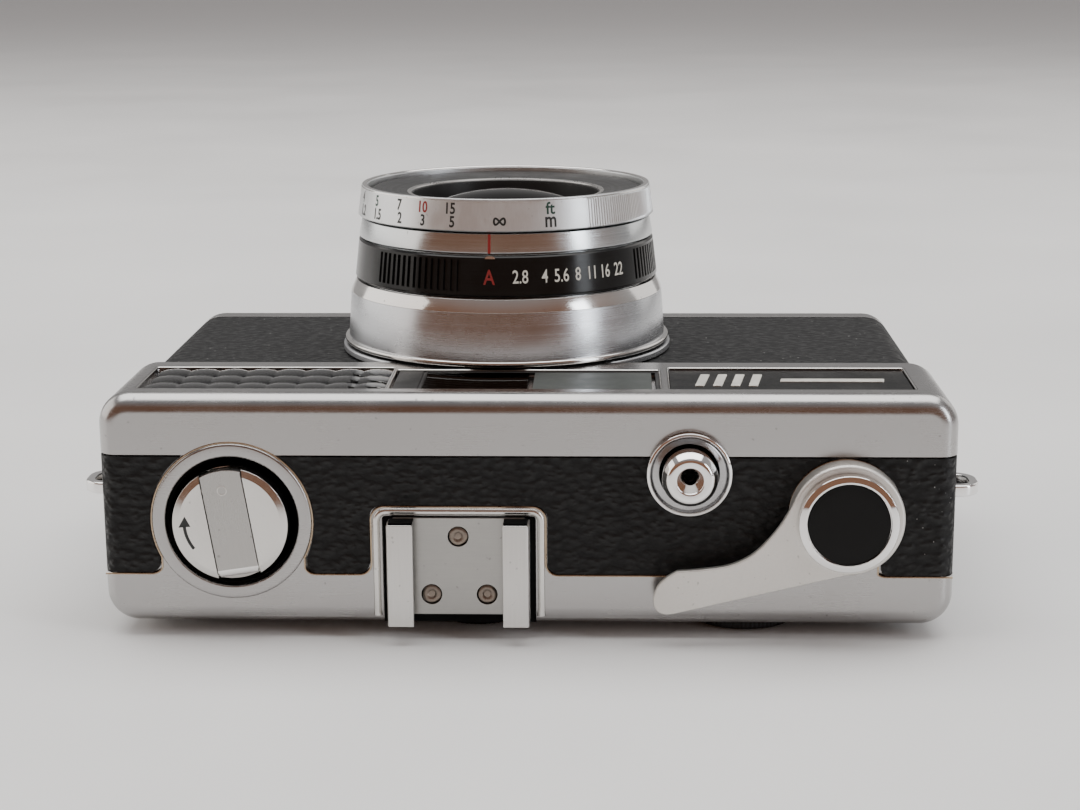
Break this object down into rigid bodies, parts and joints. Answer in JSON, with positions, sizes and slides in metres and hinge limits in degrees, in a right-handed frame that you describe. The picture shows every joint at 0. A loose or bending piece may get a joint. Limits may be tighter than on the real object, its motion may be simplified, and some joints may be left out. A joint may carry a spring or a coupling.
{
  "type": "viewfinder film camera",
  "caption": "Compact 35 mm viewfinder camera lying on its back, with a folding wind lever, rewind crank, accessory shoe, meter cell band and a scale-focus lens.",
  "frame": {"origin": "centre of the bounding box's underside, on the surface that the camera's back rests on", "axes": "+X to the user's right along the body, +Y from the top plate to the base, +Z out along the lens axis"},
  "size_m": [0.1284, 0.0762, 0.0594],
  "materials": {
    "satin_chrome": "fine-brushed satin chrome",
    "bright_chrome": "polished",
    "nickel": "matt nickel",
    "die_casting": "black-painted die casting",
    "door_metal": "black-painted sheet",
    "black_enamel": "satin black",
    "leatherette": "pebbled black leatherette",
    "black_plastic": "satin black moulding",
    "optical_glass": "polished, coated",
    "selenium": "grey selenium plate"
  },
  "bodies": {
    "body": {"top_cover": "satin_chrome", "top_leather_left": "leatherette", "top_leather_right": "leatherette", "cell_window": "optical_glass", "selenium_cell": "selenium", "window_frame": "black_plastic", "finder_window": "optical_glass", "brightline_window": "optical_glass", "name_plate": "black_enamel", "viewfinder_tube": "black_plastic", "eyepiece_lens": "optical_glass", "eyepiece_ring": "black_plastic", "rewind_well": "black_enamel", "accessory_shoe": "nickel", "shoe_screw_1": "nickel", "shoe_screw_2": "nickel", "shoe_screw_3": "nickel", "button_bezel": "bright_chrome", "body_casting": "die_casting", "front_leather": "leatherette", "bottom_cover": "satin_chrome", "tripod_bush": "nickel", "counter_window": "optical_glass", "bottom_screw_1": "nickel", "bottom_screw_2": "nickel", "hinge_pin": "nickel", "lens_flange": "satin_chrome", "lens_barrel": "satin_chrome", "index_ring": "satin_chrome", "shutter_housing": "black_enamel", "rear_element": "optical_glass", "strap_lug_left": "bright_chrome", "strap_lug_right": "bright_chrome"},
    "film_reminder": {"film_reminder_dial": "black_plastic"},
    "rewind_lift": {"rewind_collar": "nickel"},
    "rewind_knob": {"rewind_knob": "bright_chrome", "crank_pin": "nickel", "rewind_shaft": "nickel"},
    "rewind_crank": {"rewind_crank": "nickel"},
    "shutter_button": {"shutter_button": "bright_chrome"},
    "wind_lever": {"wind_lever": "nickel", "wind_hub_cap": "bright_chrome", "hub_disc": "black_enamel"},
    "takeup_spool": {"takeup_spool": "black_plastic"},
    "sprocket": {"sprocket": "nickel"},
    "counter_dial": {"counter_dial": "black_enamel"},
    "release_button": {"rewind_release_button": "bright_chrome"},
    "back_door": {"back_door": "door_metal", "back_leather": "leatherette", "pressure_spring": "nickel"},
    "pressure_plate": {"pressure_plate": "black_enamel"},
    "door_latch": {"door_latch": "nickel"},
    "aperture_ring": {"aperture_ring": "black_enamel"},
    "focus_cell": {"front_element": "optical_glass", "retaining_ring": "black_enamel"},
    "focus_ring": {"focus_ring": "satin_chrome"},
    "shutter_blade_1": {"shutter_blade_1": "black_enamel"},
    "shutter_blade_2": {"shutter_blade_2": "black_enamel"}
  },
  "joints": [
    {"name": "wind_lever_swing", "type": "hinge", "parent": "body", "child": "wind_lever", "pos_m": [0.04405, -0.0352, 0.0184], "axis": [0, -1, 0], "range_deg": [0, 150], "stiffness_Nm_per_rad": 0.002, "springref_deg": -22.92},
    {"name": "takeup_turn", "type": "hinge", "parent": "body", "child": "takeup_spool", "pos_m": [0.04405, 0.0098, 0.0184], "axis": [0, -1, 0], "range_deg": [0, 330]},
    {"name": "sprocket_turn", "type": "hinge", "parent": "body", "child": "sprocket", "pos_m": [0.0235, 0.0098, 0.0096], "axis": [0, -1, 0], "range_deg": [0, 362]},
    {"name": "counter_turn", "type": "hinge", "parent": "body", "child": "counter_dial", "pos_m": [0.04405, 0.036, 0.0184], "axis": [0, -1, 0], "range_deg": [0, 10]},
    {"name": "shutter_press", "type": "slide", "parent": "body", "child": "shutter_button", "axis": [0, 1, 0], "range_m": [0, 0.0022], "stiffness_N_per_m": 300, "springref_m": -0.001},
    {"name": "shutter_open", "type": "hinge", "parent": "body", "child": "shutter_blade_1", "pos_m": [-0.00005, 0.0227, 0.0448], "axis": [0, 0, 1], "range_deg": [0, 28]},
    {"name": "shutter_follow", "type": "hinge", "parent": "body", "child": "shutter_blade_2", "pos_m": [-0.00905, 0.0227, 0.0455], "axis": [0, 0, 1], "range_deg": [-28, 0]},
    {"name": "aperture_turn", "type": "hinge", "parent": "body", "child": "aperture_ring", "pos_m": [-0.00455, 0.0097, 0.048], "axis": [0, 0, 1], "range_deg": [-52, 0]},
    {"name": "focus_travel", "type": "slide", "parent": "body", "child": "focus_cell", "axis": [0, 0, 1], "range_m": [0, 0.0011], "stiffness_N_per_m": 30, "springref_m": 0.0131},
    {"name": "focus_turn", "type": "hinge", "parent": "focus_cell", "child": "focus_ring", "pos_m": [-0.00455, 0.0097, 0.057], "axis": [0, 0, 1], "range_deg": [0, 75]},
    {"name": "rewind_pull", "type": "slide", "parent": "body", "child": "rewind_lift", "axis": [0, -1, 0], "range_m": [0, 0.006]},
    {"name": "rewind_turn", "type": "hinge", "parent": "rewind_lift", "child": "rewind_knob", "pos_m": [-0.041, -0.0322, 0.017], "axis": [0, -1, 0], "continuous": true},
    {"name": "crank_fold", "type": "hinge", "parent": "rewind_knob", "child": "rewind_crank", "pos_m": [-0.0418, -0.0335, 0.02214], "axis": [-0.9882, 0, -0.153], "range_deg": [0, 150]},
    {"name": "latch_slide", "type": "slide", "parent": "body", "child": "door_latch", "axis": [0, -1, 0], "range_m": [0, 0.003]},
    {"name": "door_swing", "type": "hinge", "parent": "body", "child": "back_door", "pos_m": [0.0566, 0.0108, 0.0024], "axis": [0, -1, 0], "range_deg": [0, 100]},
    {"name": "pressure_travel", "type": "slide", "parent": "back_door", "child": "pressure_plate", "axis": [0, 0, -1], "range_m": [0, 0.0004], "stiffness_N_per_m": 400, "springref_m": -0.001},
    {"name": "release_press", "type": "slide", "parent": "body", "child": "release_button", "axis": [0, -1, 0], "range_m": [0, 0.0012], "stiffness_N_per_m": 200, "springref_m": -0.001},
    {"name": "reminder_turn", "type": "hinge", "parent": "body", "child": "film_reminder", "pos_m": [0.0308, -0.0206, 0.001], "axis": [0, 0, -1], "continuous": true}
  ],
  "couplings": [
    {"joint": "takeup_turn", "follows": "wind_lever_swing", "ratio": 2.1},
    {"joint": "sprocket_turn", "follows": "wind_lever_swing", "ratio": 2.4},
    {"joint": "counter_turn", "follows": "wind_lever_swing", "ratio": 0.0632},
    {"joint": "shutter_follow", "follows": "shutter_open", "ratio": -1},
    {"joint": "focus_travel", "follows": "focus_turn", "m_per_rad": 0.00076},
    {"joint": "latch_slide", "follows": "rewind_pull", "ratio": 0.5}
  ]
}
